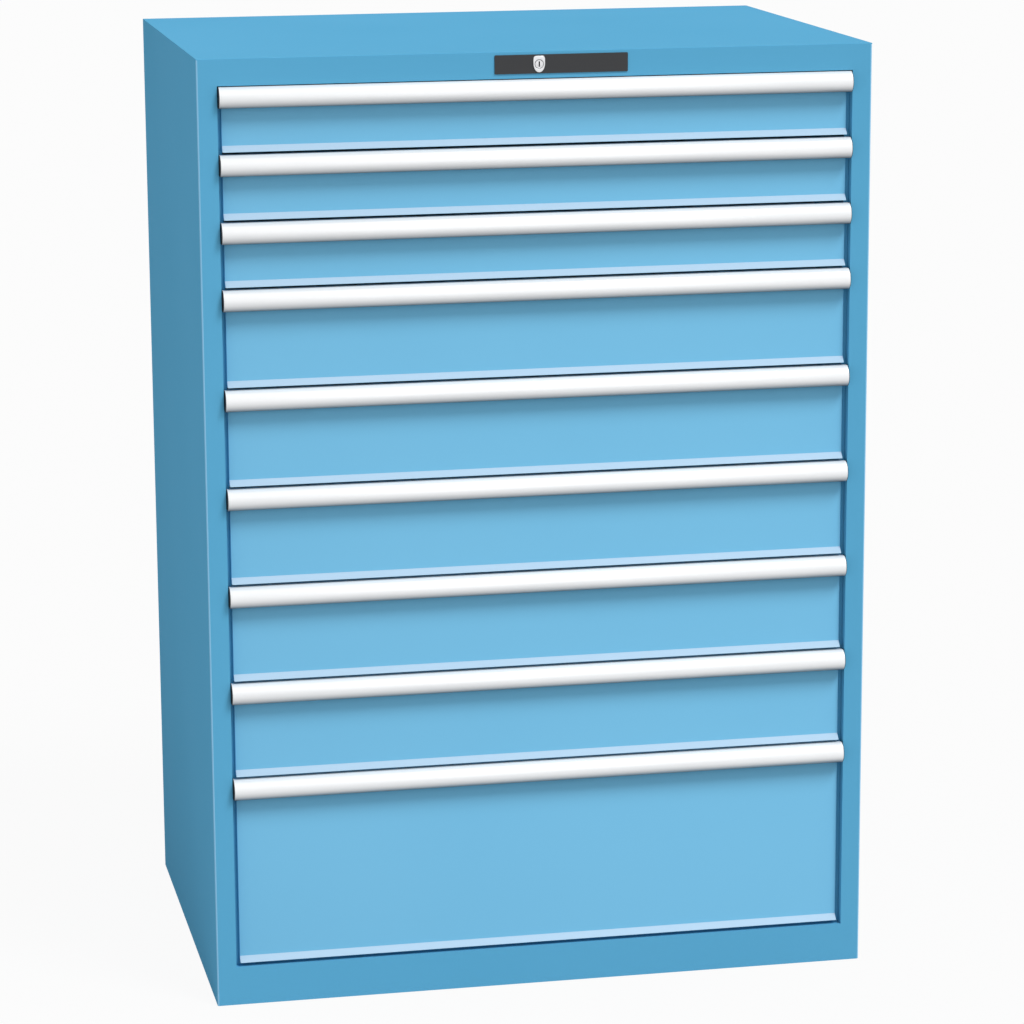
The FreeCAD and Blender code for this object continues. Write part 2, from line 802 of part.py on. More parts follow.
def carriages(number):
    """Middle members of the runners: on each side a beam with two wheels in the fixed rail and
    two in the drawer's channel."""
    middle = slide_level(number)
    half_travel = "(%s / 2)" % TRAVEL
    wheel_out = "(dims.rail_height - dims.rail_sheet * 2 - dims.roller_gap * 2)"
    wheel_in = "(dims.channel_height - dims.rail_sheet * 2 - dims.roller_gap * 2)"
    beam = new_body("beam")
    strip = rectangle(
        beam,
        "YZ_Plane",
        BEAM_START,
        BEAM_END,
        "(%s - dims.beam_height / 2)" % middle,
        "(%s + dims.beam_height / 2)" % middle,
        BEAM_IN,
    )
    pad(beam, strip, "dims.beam_sheet")
    outer_start = "(%s + dims.roller_side_gap)" % RAIL_EDGE
    outer_end = "(%s - dims.rail_sheet - dims.roller_side_gap)" % UPRIGHT_FACE
    inner_start = "(%s + dims.rail_sheet + dims.inner_roller_gap)" % TRAY_SIDE
    inner_end = "(%s - dims.inner_roller_gap)" % BEAM_IN
    outer_places = [
        "(%s + %s + dims.roller_end_gap)" % (RAIL_START, half_travel),
        "(%s - dims.roller_end_gap)" % BEAM_END,
    ]
    inner_places = [
        "(%s + dims.roller_end_gap)" % BEAM_START,
        "(%s + %s - dims.roller_end_gap * 2)" % (BEAM_START, half_travel),
    ]
    wheels = []
    for along in outer_places:
        pin = circle(beam, "YZ_Plane", along, middle, "dims.axle_width", BEAM_OUT)
        pad(beam, pin, "(%s - %s)" % (outer_end, BEAM_OUT))
        wheels.append(roller(number, outer_start, outer_end, along, wheel_out))
    for along in inner_places:
        pin = circle(beam, "YZ_Plane", along, middle, "dims.axle_width", BEAM_IN)
        pad(beam, pin, "(%s - %s)" % (BEAM_IN, inner_start), backwards=True)
        wheels.append(roller(number, inner_start, inner_end, along, wheel_in))
    right = [beam] + wheels
    left = [mirrored("left_" + piece.Label, piece) for piece in right]
    return group("drawer_%d_carriages" % number, right + left)


# Lock


def lock_strip():
    """Dark cover strip on the top rail round the lock."""
    body = new_body("lock_strip")
    middle = "(dims.lock_offset + dims.lock_strip_shift)"
    low = "(%s - dims.lock_strip_height / 2)" % LOCK_LEVEL
    strip = rectangle(
        body,
        "XZ_Plane",
        "(%s - dims.lock_strip_width / 2)" % middle,
        "(%s + dims.lock_strip_width / 2)" % middle,
        low,
        "(%s + dims.lock_strip_height)" % low,
        "-" + FRONT,
    )
    plate = pad(body, strip, "dims.lock_strip_thickness")

    def corner(edge):
        return near(edge.BoundBox.XLength, 0) and near(edge.BoundBox.ZLength, 0)

    round_edges(body, plate, "dims.lock_strip_corner", corner)
    hole = circle(body, "XZ_Plane", "dims.lock_offset", LOCK_LEVEL, LOCK_HOLE, "-" + FRONT)
    pocket(body, hole, "dims.lock_strip_thickness * 4", both_sides=True)
    return body


STRIP_FACE = "(%s - dims.lock_strip_thickness)" % FRONT
BARREL_FACE = "(%s - dims.escutcheon_thickness)" % STRIP_FACE
CAM_FRONT = "(%s + dims.barrel_length)" % BARREL_FACE
CAM_BACK = "(%s + dims.cam_sheet)" % CAM_FRONT


def bow_radius(chord, rise):
    """Radius of an arc from its chord and its rise above the chord."""
    return "((pow(%s / 2; 2) + pow(%s; 2)) / (2 * %s))" % (chord, rise, rise)


def escutcheon():
    """Shield-shaped metal plate round the lock barrel, with a slightly domed top, sides that
    draw in a little and a round foot."""
    body = new_body("lock_escutcheon")
    middle = "dims.lock_offset"
    broad = "dims.escutcheon_width / 2"
    narrow = "dims.escutcheon_foot_width / 2"
    crown = "(%s + dims.escutcheon_height / 2)" % LOCK_LEVEL
    foot = "(%s - dims.escutcheon_height / 2)" % LOCK_LEVEL
    shoulder = "(%s - dims.escutcheon_dome)" % crown
    hip = "(%s + dims.escutcheon_foot_height)" % foot
    corners = [
        ("(%s - %s)" % (middle, narrow), hip),
        ("(%s + %s)" % (middle, narrow), hip),
        ("(%s + %s)" % (middle, broad), shoulder),
        ("(%s - %s)" % (middle, broad), shoulder),
    ]
    top_radius = bow_radius("dims.escutcheon_width", "dims.escutcheon_dome")
    foot_radius = bow_radius("dims.escutcheon_foot_width", "dims.escutcheon_foot_height")
    sketch = body.newObject("Sketcher::SketchObject", "shield")
    sketch.AttachmentSupport = [(plane(body, "XZ_Plane"), "")]
    sketch.MapMode = "FlatFace"
    sketch.setExpression(".AttachmentOffset.Base.z", "-" + STRIP_FACE)
    left_hip, right_hip, right_shoulder, left_shoulder = [
        FreeCAD.Vector(size(across), size(along), 0) for across, along in corners
    ]
    crown_tip = FreeCAD.Vector(size(middle), size(crown), 0)
    foot_tip = FreeCAD.Vector(size(middle), size(foot), 0)
    bows = [
        (left_hip, right_hip, foot_tip, foot_radius),
        (right_shoulder, left_shoulder, crown_tip, top_radius),
    ]
    straights = [(right_hip, right_shoulder), (left_shoulder, left_hip)]
    for (start, end, tip, radius), straight in zip(bows, straights):
        inwards = -1 if tip.y > start.y else 1
        centre = tip + FreeCAD.Vector(0, inwards * size(radius), 0)
        first = math.atan2(start.y - centre.y, start.x - centre.x)
        last = math.atan2(end.y - centre.y, end.x - centre.x)
        circle_of_bow = Part.Circle(centre, FreeCAD.Vector(0, 0, 1), size(radius))
        sweep = (last - first) % (2 * math.pi)
        sketch.addGeometry(Part.ArcOfCircle(circle_of_bow, first, first + sweep), False)
        sketch.addGeometry(Part.LineSegment(*straight), False)
    for index in range(len(corners)):
        joined = Sketcher.Constraint("Coincident", index, 2, (index + 1) % len(corners), 1)
        sketch.addConstraint(joined)
        hold(sketch, "DistanceX", (index, 1), corners[index][0])
        hold(sketch, "DistanceY", (index, 1), corners[index][1])
    hold(sketch, "DistanceY", (0, 3), "(%s + %s)" % (foot, foot_radius))
    hold(sketch, "DistanceY", (2, 3), "(%s - %s)" % (crown, top_radius))
    shield = pad(body, sketch, "dims.escutcheon_thickness")

    def shoulder_corner(edge):
        middle_point = edge.CenterOfMass
        across = near(edge.BoundBox.XLength, 0) and near(edge.BoundBox.ZLength, 0)
        return across and near(middle_point.z, size(shoulder))

    cornered = round_edges(body, shield, "dims.escutcheon_corner", shoulder_corner)
    face = size(BARREL_FACE)
    rim = [
        "Edge%d" % index
        for index, edge in enumerate(cornered.Shape.Edges, start=1)
        if near(edge.CenterOfMass.y, face)
    ]
    bevel = body.newObject("PartDesign::Chamfer", "lock_escutcheon_bevel")
    bevel.Base = (cornered, rim)
    bevel.setExpression("Size", "dims.escutcheon_bevel")
    doc.recompute()
    hole = circle(body, "XZ_Plane", middle, LOCK_LEVEL, LOCK_HOLE, "-" + STRIP_FACE)
    pocket(body, hole, "dims.escutcheon_thickness * 4", both_sides=True)
    return body


def lock_barrel():
    """Turned lock barrel with its key slot, upright at rest."""
    body = new_body("lock_barrel")
    plug = circle(
        body, "XZ_Plane", "dims.lock_offset", LOCK_LEVEL, "dims.barrel_width", "-" + BARREL_FACE
    )
    pad(body, plug, "dims.barrel_length", backwards=True)
    slot = rectangle(
        body,
        "XZ_Plane",
        "(dims.lock_offset - dims.keyhole_width / 2)",
        "(dims.lock_offset + dims.keyhole_width / 2)",
        "(%s - dims.keyhole_height / 2)" % LOCK_LEVEL,
        "(%s + dims.keyhole_height / 2)" % LOCK_LEVEL,
        "-" + BARREL_FACE,
    )
    pocket(body, slot, "dims.keyhole_depth")
    return body


# The cam's pin swings a quarter turn below the barrel, from one side of it to the other
HALF_TURN_SHIFT = "(dims.cam_arm * sin(45 deg))"
PIN_ROOM = "(dims.pin_width / 2 + dims.pin_play)"
ROD_PIN = "(%s - dims.bar_head / 2)" % BAR_OUT
ROD_PIN_START = "(%s - %s)" % (ROD_PIN, HALF_TURN_SHIFT)
ROD_PIN_END = "(%s + %s)" % (ROD_PIN, HALF_TURN_SHIFT)
ROD_START = "(dims.lock_offset - %s - dims.rod_height / 2)" % HALF_TURN_SHIFT
ROD_END = "(%s + dims.pin_width * 1.5)" % ROD_PIN_START


def lock_cam():
    """Lever on the back of the barrel, with the pin that drives the rod."""
    body = new_body("lock_cam")
    hub = circle(
        body, "XZ_Plane", "dims.lock_offset", LOCK_LEVEL, "dims.barrel_width", "-" + CAM_FRONT
    )
    pad(body, hub, "dims.cam_sheet", backwards=True)
    pin_x = "(dims.lock_offset - %s)" % HALF_TURN_SHIFT
    pin_z = "(%s - %s)" % (LOCK_LEVEL, HALF_TURN_SHIFT)
    across = "(dims.pin_width * sin(45 deg))"
    arm = [
        ("(dims.lock_offset - %s)" % across, "(%s + %s)" % (LOCK_LEVEL, across)),
        ("(%s - %s)" % (pin_x, across), "(%s + %s)" % (pin_z, across)),
        ("(%s + %s)" % (pin_x, across), "(%s - %s)" % (pin_z, across)),
        ("(dims.lock_offset + %s)" % across, "(%s - %s)" % (LOCK_LEVEL, across)),
    ]
    pad(body, outline(body, "XZ_Plane", arm, "-" + CAM_FRONT), "dims.cam_sheet", backwards=True)
    tip = circle(body, "XZ_Plane", pin_x, pin_z, "dims.pin_width * 2", "-" + CAM_FRONT)
    pad(body, tip, "dims.cam_sheet", backwards=True)
    pin = circle(body, "XZ_Plane", pin_x, pin_z, "dims.pin_width", "-" + CAM_BACK)
    pad(body, pin, "(%s + dims.rod_sheet - %s)" % (ROD_FRONT, CAM_BACK), backwards=True)
    return body


def lock_rod():
    """Flat rod behind the top rail from the cam to the bar, with a tall slot for the cam's pin
    and a pin of its own at the far end."""
    body = new_body("lock_rod")
    flat = rectangle(
        body,
        "XZ_Plane",
        ROD_START,
        ROD_END,
        "(%s - dims.rod_height / 2)" % ROD_LEVEL,
        "(%s + dims.rod_height / 2)" % ROD_LEVEL,
        "-" + ROD_FRONT,
    )
    pad(body, flat, "dims.rod_sheet", backwards=True)
    middle = "(dims.lock_offset - %s)" % HALF_TURN_SHIFT
    slot = rectangle(
        body,
        "XZ_Plane",
        "(%s - %s)" % (middle, PIN_ROOM),
        "(%s + %s)" % (middle, PIN_ROOM),
        "(%s - dims.cam_arm - %s)" % (LOCK_LEVEL, PIN_ROOM),
        "(%s - %s + %s)" % (LOCK_LEVEL, HALF_TURN_SHIFT, PIN_ROOM),
        "-" + ROD_FRONT,
    )
    pocket(body, slot, "dims.rod_sheet * 4", both_sides=True)
    pin = circle(body, "XZ_Plane", ROD_PIN_START, ROD_LEVEL, "dims.pin_width", "-" + ROD_FRONT)
    pad(body, pin, "(%s - %s + dims.rod_gap)" % (ROD_FRONT, BAR_FRONT))
    return body


def lock_bar():
    """Upright bar behind the right post. Its sloping slot turns the rod's travel into a drop
    that brings one finger in front of each drawer's lug."""
    body = new_body("lock_bar")
    head_top = "(%s - dims.panel_sheet * 3)" % TOP
    head_low = "(%s - dims.rod_height / 2 - dims.bar_sheet)" % ROD_LEVEL
    foot = "(dims.plinth_height + dims.bar_foot)"
    head_in = "(%s - dims.bar_head)" % BAR_OUT
    profile = [
        (BAR_IN, foot),
        (BAR_OUT, foot),
        (BAR_OUT, head_top),
        (head_in, head_top),
        (head_in, head_low),
        (BAR_IN, head_low),
    ]
    pad(body, outline(body, "XZ_Plane", profile, "-" + BAR_FRONT), "dims.bar_sheet", backwards=True)
    across = "(%s - %s)" % (ROD_PIN_END, ROD_PIN_START)
    slant = "sqrt(pow(%s; 2) + pow(dims.bar_drop; 2))" % across
    forward = "(%s * %s / %s)" % (PIN_ROOM, across, slant)
    upward = "(%s * dims.bar_drop / %s)" % (PIN_ROOM, slant)
    low_end = "(%s - %s)" % (ROD_LEVEL, upward)
    high_end = "(%s + dims.bar_drop + %s)" % (ROD_LEVEL, upward)
    slot = [
        ("(%s - %s + %s)" % (ROD_PIN_START, forward, upward), "(%s - %s)" % (low_end, forward)),
        ("(%s + %s + %s)" % (ROD_PIN_END, forward, upward), "(%s - %s)" % (high_end, forward)),
        ("(%s + %s - %s)" % (ROD_PIN_END, forward, upward), "(%s + %s)" % (high_end, forward)),
        ("(%s - %s - %s)" % (ROD_PIN_START, forward, upward), "(%s + %s)" % (low_end, forward)),
    ]
    opening = outline(body, "XZ_Plane", slot, "-" + BAR_FRONT)
    pocket(body, opening, "dims.bar_sheet * 4", both_sides=True)
    for number in DRAWERS:
        low = "(%s + dims.lug_lift + dims.bar_drop)" % level(number)
        finger = rectangle(
            body,
            "XZ_Plane",
            "(%s - dims.finger_reach)" % CHANNEL_EDGE,
            BAR_OUT,
            low,
            "(%s + dims.lug_height)" % low,
            "-" + BAR_FRONT,
        )
        pad(body, finger, "dims.bar_sheet", backwards=True)
    return body


def bar_guide(low):
    """Plastic clip on the side wall that the bar slides in."""
    body = new_body("bar_guide")
    play = "dims.guide_play"
    front_face = "(%s - %s - dims.guide_wall)" % (BAR_FRONT, play)
    back_face = "(%s + %s + dims.guide_wall)" % (BAR_BACK, play)
    profile = [
        ("(%s - dims.guide_wall * 2)" % BAR_OUT, front_face),
        (SIDE_IN, front_face),
        (SIDE_IN, back_face),
        ("(%s - dims.guide_wall * 2)" % BAR_OUT, back_face),
        ("(%s - dims.guide_wall * 2)" % BAR_OUT, "(%s + %s)" % (BAR_BACK, play)),
        ("(%s + %s)" % (BAR_OUT, play), "(%s + %s)" % (BAR_BACK, play)),
        ("(%s + %s)" % (BAR_OUT, play), "(%s - %s)" % (BAR_FRONT, play)),
        ("(%s - dims.guide_wall * 2)" % BAR_OUT, "(%s - %s)" % (BAR_FRONT, play)),
    ]
    pad(body, outline(body, "XY_Plane", profile, low), "dims.guide_height")
    return body


def rod_guide(across):
    """Clip under the lid that the rod slides in."""
    body = new_body("rod_guide")
    play = "dims.guide_play"
    wall = "dims.guide_wall"
    rod_back = "(%s + dims.rod_sheet)" % ROD_FRONT
    under = "(%s - dims.rod_height / 2 - %s)" % (ROD_LEVEL, play)
    above = "(%s + dims.rod_height / 2 + %s)" % (ROD_LEVEL, play)
    lid = "(%s - dims.panel_sheet)" % TOP
    profile = [
        ("(%s - %s)" % (ROD_FRONT, play), "(%s - %s / 3)" % (under, wall)),
        ("(%s + %s + %s)" % (rod_back, play, wall), "(%s - %s / 3)" % (under, wall)),
        ("(%s + %s + %s)" % (rod_back, play, wall), lid),
        ("(%s - %s)" % (ROD_FRONT, play), lid),
        ("(%s - %s)" % (ROD_FRONT, play), above),
        ("(%s + %s)" % (rod_back, play), above),
        ("(%s + %s)" % (rod_back, play), under),
        ("(%s - %s)" % (ROD_FRONT, play), under),
    ]
    pad(body, outline(body, "YZ_Plane", profile, across), "dims.guide_height")
    return body


def lock_guides():
    lowest = "(dims.plinth_height + dims.bar_guide_margin)"
    highest = "(%s - dims.bar_guide_margin)" % OPENING_TOP
    middle = "((%s + %s) / 2)" % (lowest, highest)
    clips = [bar_guide(place) for place in (lowest, middle, highest)]
    clips.append(rod_guide("(%s + dims.rod_guide_margin)" % ROD_START))
    clips.append(rod_guide("(%s - dims.rod_guide_margin)" % ROD_END))
    return group("lock_guides", clips)


right_panel = side_panel()
mirrored("left_side_panel", right_panel)
top_panel()
base_panel()
back_panel()
back_rivets()
uprights()
fixed_rails()
for drawer in DRAWERS:
    tray(drawer)
    front(drawer)
    handle(drawer)
    end_caps(drawer)
    carriages(drawer)
lock_strip()
escutcheon()
lock_barrel()
lock_cam()
lock_rod()
lock_bar()
lock_guides()
doc.recompute()

for item in doc.Objects:
    if "Invalid" in item.State or "Error" in item.State:
        raise ValueError("%s failed: %s" % (item.Label, item.State))

os.makedirs("parts", exist_ok=True)
for piece in PARTS:
    if piece.Shape.isNull() or not piece.Shape.isValid():
        raise ValueError(piece.Label + " has no valid shape")
    piece.Shape.exportStep("parts/%s.step" % piece.Label)
print(len(PARTS), "pieces written")
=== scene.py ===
import bpy
import math
from mathutils import Color, Matrix, Vector


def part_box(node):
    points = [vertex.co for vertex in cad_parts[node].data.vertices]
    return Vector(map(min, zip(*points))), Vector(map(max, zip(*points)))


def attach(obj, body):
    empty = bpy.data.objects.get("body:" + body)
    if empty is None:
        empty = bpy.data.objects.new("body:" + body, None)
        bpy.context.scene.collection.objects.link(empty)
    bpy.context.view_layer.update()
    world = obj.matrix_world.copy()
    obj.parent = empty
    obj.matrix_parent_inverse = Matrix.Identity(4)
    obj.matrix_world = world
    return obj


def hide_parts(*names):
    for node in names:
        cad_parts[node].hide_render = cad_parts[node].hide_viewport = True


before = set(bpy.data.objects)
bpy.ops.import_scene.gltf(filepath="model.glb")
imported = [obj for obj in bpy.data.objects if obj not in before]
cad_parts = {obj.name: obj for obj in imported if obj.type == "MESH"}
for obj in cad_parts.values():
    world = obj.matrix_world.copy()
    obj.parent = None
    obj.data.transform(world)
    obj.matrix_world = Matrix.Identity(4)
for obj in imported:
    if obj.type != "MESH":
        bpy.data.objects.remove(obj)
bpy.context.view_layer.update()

# Housing: folded and spot-welded sheet steel, powder coated light blue inside and out. The
# sheets are the frame's own, and get the paint: a satin coat over a fine orange-peel skin. Its
# blue is darker than the fronts' as painted shade, and the upright folds of the posts get a
# painted highlight, a pale line.


class Value:
    """One output of a node. Each operator adds a Math node."""

    def __init__(self, shade, socket):
        self.shade = shade
        self.socket = socket

    def worked(self, operation, *terms):
        return self.shade.node("ShaderNodeMath", {"operation": operation}, dict(enumerate(terms)))

    def __add__(self, other):
        return self.worked("ADD", self, other)

    def __radd__(self, other):
        return self.worked("ADD", other, self)

    def __mul__(self, other):
        return self.worked("MULTIPLY", self, other)

    def __rmul__(self, other):
        return self.worked("MULTIPLY", other, self)

    def __gt__(self, other):
        return self.worked("GREATER_THAN", self, other)

    def __abs__(self):
        return self.worked("ABSOLUTE", self)


class Shade:
    """The nodes of a material or of the world, with the shader that they feed."""

    # Numbers of the Mix node's sockets for colours.
    MIX_FIRST = 6
    MIX_SECOND = 7
    MIX_RESULT = 2

    def __init__(self, owner, shader):
        owner.use_nodes = True
        self.owner = owner
        self.tree = owner.node_tree
        self.shader = self.tree.nodes[shader]

    def node(self, kind, settings=None, inputs=None, out=0):
        """A new node. Its settings come first, then values or links by socket name or number."""
        made = self.tree.nodes.new(kind)
        for setting, value in (settings or {}).items():
            setattr(made, setting, value)
        for socket, value in (inputs or {}).items():
            self.feed(made.inputs[socket], value)
        return Value(self, made.outputs[out])

    def feed(self, socket, value):
        if isinstance(value, Value):
            self.tree.links.new(value.socket, socket)
        else:
            socket.default_value = value

    def set(self, **sockets):
        """Values or links of the shader's own sockets."""
        for name, value in sockets.items():
            self.feed(self.shader.inputs[name.replace("_", " ")], value)

    def place(self, stretch=(1, 1, 1)):
        """The piece's own coordinates in metres, multiplied along each axis."""
        spot = self.node("ShaderNodeTexCoord", out="Object")
        return self.node("ShaderNodeMapping", inputs={"Vector": spot, "Scale": stretch})

    def noise(self, size, stretch=(1, 1, 1), detail=2.0):
        """Soft cloudy values about a half, with blots of the given size in metres."""
        inputs = {"Vector": self.place(stretch), "Scale": 1 / size, "Detail": detail}
        return self.node("ShaderNodeTexNoise", inputs=inputs)

    def facing(self, axis):
        """How far the surface faces along one axis, from -1 to 1."""
        normal = self.node("ShaderNodeNewGeometry", out="Normal")
        return self.node("ShaderNodeSeparateXYZ", inputs={"Vector": normal}, out=axis)

    def blend(self, mask, first, second):
        """The first colour where the mask is 0, the second where it is 1."""
        inputs = {"Factor": mask, self.MIX_FIRST: first, self.MIX_SECOND: second}
        return self.node("ShaderNodeMix", {"data_type": "RGBA"}, inputs, out=self.MIX_RESULT)

    def roughen(self, pattern, smoothest, roughest):
        """Roughness that follows a pattern between two levels."""
        self.set(Roughness=smoothest + (roughest - smoothest) * pattern)

    def skin(self, height, depth):
        """Raises the surface where the height is 1 by the depth in metres."""
        self.set(Normal=self.node("ShaderNodeBump", inputs={"Height": height, "Distance": depth}))


def new_finish(name, **plain):
    """A material that starts from plain values of its surface."""
    finish = Shade(bpy.data.materials.new(name), "Principled BSDF")
    finish.set(**plain)
    return finish


def linear(red, green, blue):
    """A colour as the eye names it, in the shader's own linear values."""
    colour = Color((red / 255, green / 255, blue / 255)).from_srgb_to_scene_linear()
    return (*colour, 1.0)


def finish_node(node, finish):
    """Gives one of the frame's own pieces its finish."""
    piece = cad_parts[node]
    piece.data.materials.clear()
    piece.data.materials.append(finish.owner)


# Painted shade: the housing's blue is a darker copy of the fronts' blue, though both share one
# paint.
SHADED_HOUSING_BLUE = linear(86, 161, 199)
SHADED_HOUSING_BLUE_THIN = linear(91, 165, 203)
FOLD_HIGHLIGHT_BLUE = linear(138, 193, 226)
FOLD_TURN = 0.12
CLOUD = 0.35
ORANGE_PEEL = 0.0016
ORANGE_PEEL_DEPTH = 0.00002
COAT_ROUGHNESS = (0.41, 0.49)
COAT_IOR = 1.01


def powder_coat(name, colour, thin):
    """Paint with its skin, and the tone that drifts softly over its flat sheets."""
    paint = new_finish(name, IOR=COAT_IOR)
    peel = paint.noise(ORANGE_PEEL, detail=1.0)
    paint.roughen(peel, *COAT_ROUGHNESS)
    paint.skin(peel, ORANGE_PEEL_DEPTH)
    return paint, paint.blend(paint.noise(CLOUD, detail=1.0), colour, thin)


housing_paint, sheet_tone = powder_coat("blue_powder_coat", SHADED_HOUSING_BLUE, SHADED_HOUSING_BLUE_THIN)
# Painted highlight: faces turned half sideways and half ahead, at the upright folds, get a paler
# blue.
painted_fold_highlight = abs(housing_paint.facing("X") * housing_paint.facing("Y")) > FOLD_TURN
housing_paint.set(Base_Color=housing_paint.blend(painted_fold_highlight, sheet_tone, FOLD_HIGHLIGHT_BLUE))
for panel in ("left_side_panel", "right_side_panel", "top_panel", "base_panel", "back_panel"):
    finish_node(panel, housing_paint)

# Plated steel: bright zinc-plated blind rivets hold the back sheet to the side panels' rear
# flanges. The uprights, the fixed rails and the lock's levers are pressed from strip with the
# same plating, which shows small crystals.

ZINC = linear(168, 174, 178)
ZINC_DULL = linear(158, 164, 169)
SPANGLE = 0.006
ZINC_GRAIN = 0.0025
ZINC_GRAIN_DEPTH = 0.00001
ZINC_ROUGHNESS = (0.36, 0.46)

zinc = new_finish("zinc_plate", Metallic=0.85)
crystals = zinc.node(
    "ShaderNodeTexVoronoi", inputs={"Vector": zinc.place(), "Scale": 1 / SPANGLE}, out="Color"
)
crystal_tone = zinc.node("ShaderNodeSeparateColor", inputs={"Color": crystals})
zinc.set(Base_Color=zinc.blend(crystal_tone, ZINC, ZINC_DULL))
zinc.roughen(crystal_tone, *ZINC_ROUGHNESS)
zinc.skin(zinc.noise(ZINC_GRAIN), ZINC_GRAIN_DEPTH)
for strip in ("back_panel_rivets", "uprights", "fixed_rails", "lock_cam", "lock_rod", "lock_bar"):
    finish_node(strip, zinc)

# Lock guides: five clips moulded in uncoloured plastic, which lets a little light in. They hold
# the rod under the top and the bar behind the drawers.

NATURAL_PLASTIC = linear(226, 226, 220)
NATURAL_PLASTIC_DULL = linear(216, 216, 208)
PLASTIC_CLOUD = 0.02

guide_plastic = new_finish("natural_plastic", Roughness=0.5, Subsurface_Weight=0.05)
guide_tone = guide_plastic.noise(PLASTIC_CLOUD)
guide_plastic.set(
    Base_Color=guide_plastic.blend(guide_tone, NATURAL_PLASTIC, NATURAL_PLASTIC_DULL)
)
finish_node("lock_guides", guide_plastic)

# Drawer fronts: each is pressed from 1 mm sheet and painted like the housing. The flat face ends
# below in a sloping sill with a painted highlight, and the rim behind it is open to the tray.

DRAWERS = range(1, 10)
SILL_HEIGHT = 0.009
SILL_REACH = 0.0085
FRONT_SHEET = 0.001
FRONT_EDGE = 0.0011
FRONT_EDGE_STEPS = 3
FRONT_BLUE = linear(112, 180, 216)
FRONT_BLUE_THIN = linear(117, 184, 219)
SILL_HIGHLIGHT_BLUE = linear(170, 197, 218)
SILL_SLOPE = 0.3

# Places within NEAR of each other are the same place, and a normal of SQUARE_ON or more along an
# axis faces that way.
NEAR = 0.00001
SQUARE_ON = 0.9

front_paint, front_tone = powder_coat("front_powder_coat", FRONT_BLUE, FRONT_BLUE_THIN)
# Painted highlight: faces that turn upwards, the sloping sills, get a paler blue.
painted_sill_highlight = front_paint.facing("Z") > SILL_SLOPE
front_paint.set(Base_Color=front_paint.blend(painted_sill_highlight, front_tone, SILL_HIGHLIGHT_BLUE))


def size_of(node):
    """Width, depth and height of a node, with its lowest and highest corners, in metres."""
    low, high = [Vector(corner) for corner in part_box(node)]
    return high - low, low, high


def take(piece):
    """Leaves edit mode, with this piece alone selected and active."""
    bpy.ops.object.mode_set(mode="OBJECT")
    bpy.ops.object.select_all(action="DESELECT")
    piece.select_set(True)
    bpy.context.view_layer.objects.active = piece


def new_piece(name):
    """The piece that was just added, with its name and with its place in its mesh."""
    piece = bpy.context.active_object
    piece.name = name
    piece.data.name = name
    take(piece)
    bpy.ops.object.transform_apply(location=True, rotation=True, scale=True)
    return piece


def block(name, low, high):
    """A plain start for a sheet piece, between two corners."""
    low, high = Vector(low), Vector(high)
    bpy.ops.object.select_all(action="DESELECT")
    bpy.ops.mesh.primitive_cube_add(size=1, location=(low + high) / 2, scale=high - low)
    return new_piece(name)


def pick(piece, kind, wanted=lambda middle, run: True):
    """Selects vertices, edges or faces in edit mode, all of them or those that are wanted.

    A vertex or a face is known by its middle and its normal, an edge by its middle and its run.
    """
    bpy.ops.object.mode_set(mode="EDIT")
    bpy.ops.mesh.select_mode(type=kind)
    bpy.ops.mesh.select_all(action="DESELECT")
    bpy.ops.object.mode_set(mode="OBJECT")
    mesh = piece.data
    if kind == "VERT":
        for vertex in mesh.vertices:
            vertex.select = bool(wanted(vertex.co, vertex.normal))
    elif kind == "EDGE":
        for edge in mesh.edges:
            start, end = [mesh.vertices[index].co for index in edge.vertices]
            edge.select = bool(wanted((start + end) / 2, end - start))
    else:
        for face in mesh.polygons:
            face.select = bool(wanted(face.center, face.normal))
    bpy.ops.object.mode_set(mode="EDIT")


def apply(piece, kind, **settings):
    """Leaves edit mode, adds a modifier to the piece and applies it."""
    take(piece)
    modifier = piece.modifiers.new(kind.title(), kind)
    for setting, value in settings.items():
        setattr(modifier, setting, value)
    bpy.ops.object.modifier_apply(modifier=modifier.name)


def thicken(piece, thickness):
    """Gives a sheet its thickness, behind its faces."""
    apply(piece, "SOLIDIFY", thickness=thickness, offset=-1.0, use_even_offset=True)


def smooth(piece, degrees=35):
    """Shades the piece round wherever its faces meet at less than an angle."""
    take(piece)
    bpy.ops.object.shade_smooth_by_angle(angle=math.radians(degrees))


def pressed_front(node):
    """The sheet of one front: a block whose foot is drawn forward and whose back is open."""
    _, low, high = size_of(node)
    face = low.y + SILL_REACH
    front = block(node + "_pressed", (low.x, face, low.z), high)
    pick(front, "FACE")
    bpy.ops.mesh.bisect(plane_co=(0, 0, low.z + SILL_HEIGHT), plane_no=(0, 0, 1))
    pick(front, "VERT", lambda spot, normal: spot.y < face + NEAR and spot.z < low.z + NEAR)
    bpy.ops.transform.translate(value=(0, -SILL_REACH, 0))
    pick(front, "FACE", lambda middle, normal: normal.y > SQUARE_ON)
    bpy.ops.mesh.delete(type="FACE")
    pick(front, "EDGE", lambda middle, run: middle.y < high.y - NEAR)
    bpy.ops.mesh.bevel(offset=FRONT_EDGE, segments=FRONT_EDGE_STEPS, affect="EDGES")
    thicken(front, FRONT_SHEET)
    smooth(front)
    front.data.materials.append(front_paint.owner)
    return front


for drawer in DRAWERS:
    node = "drawer_%d_front" % drawer
    front = pressed_front(node)
    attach(front, "drawer_%d" % drawer)
    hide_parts(node)
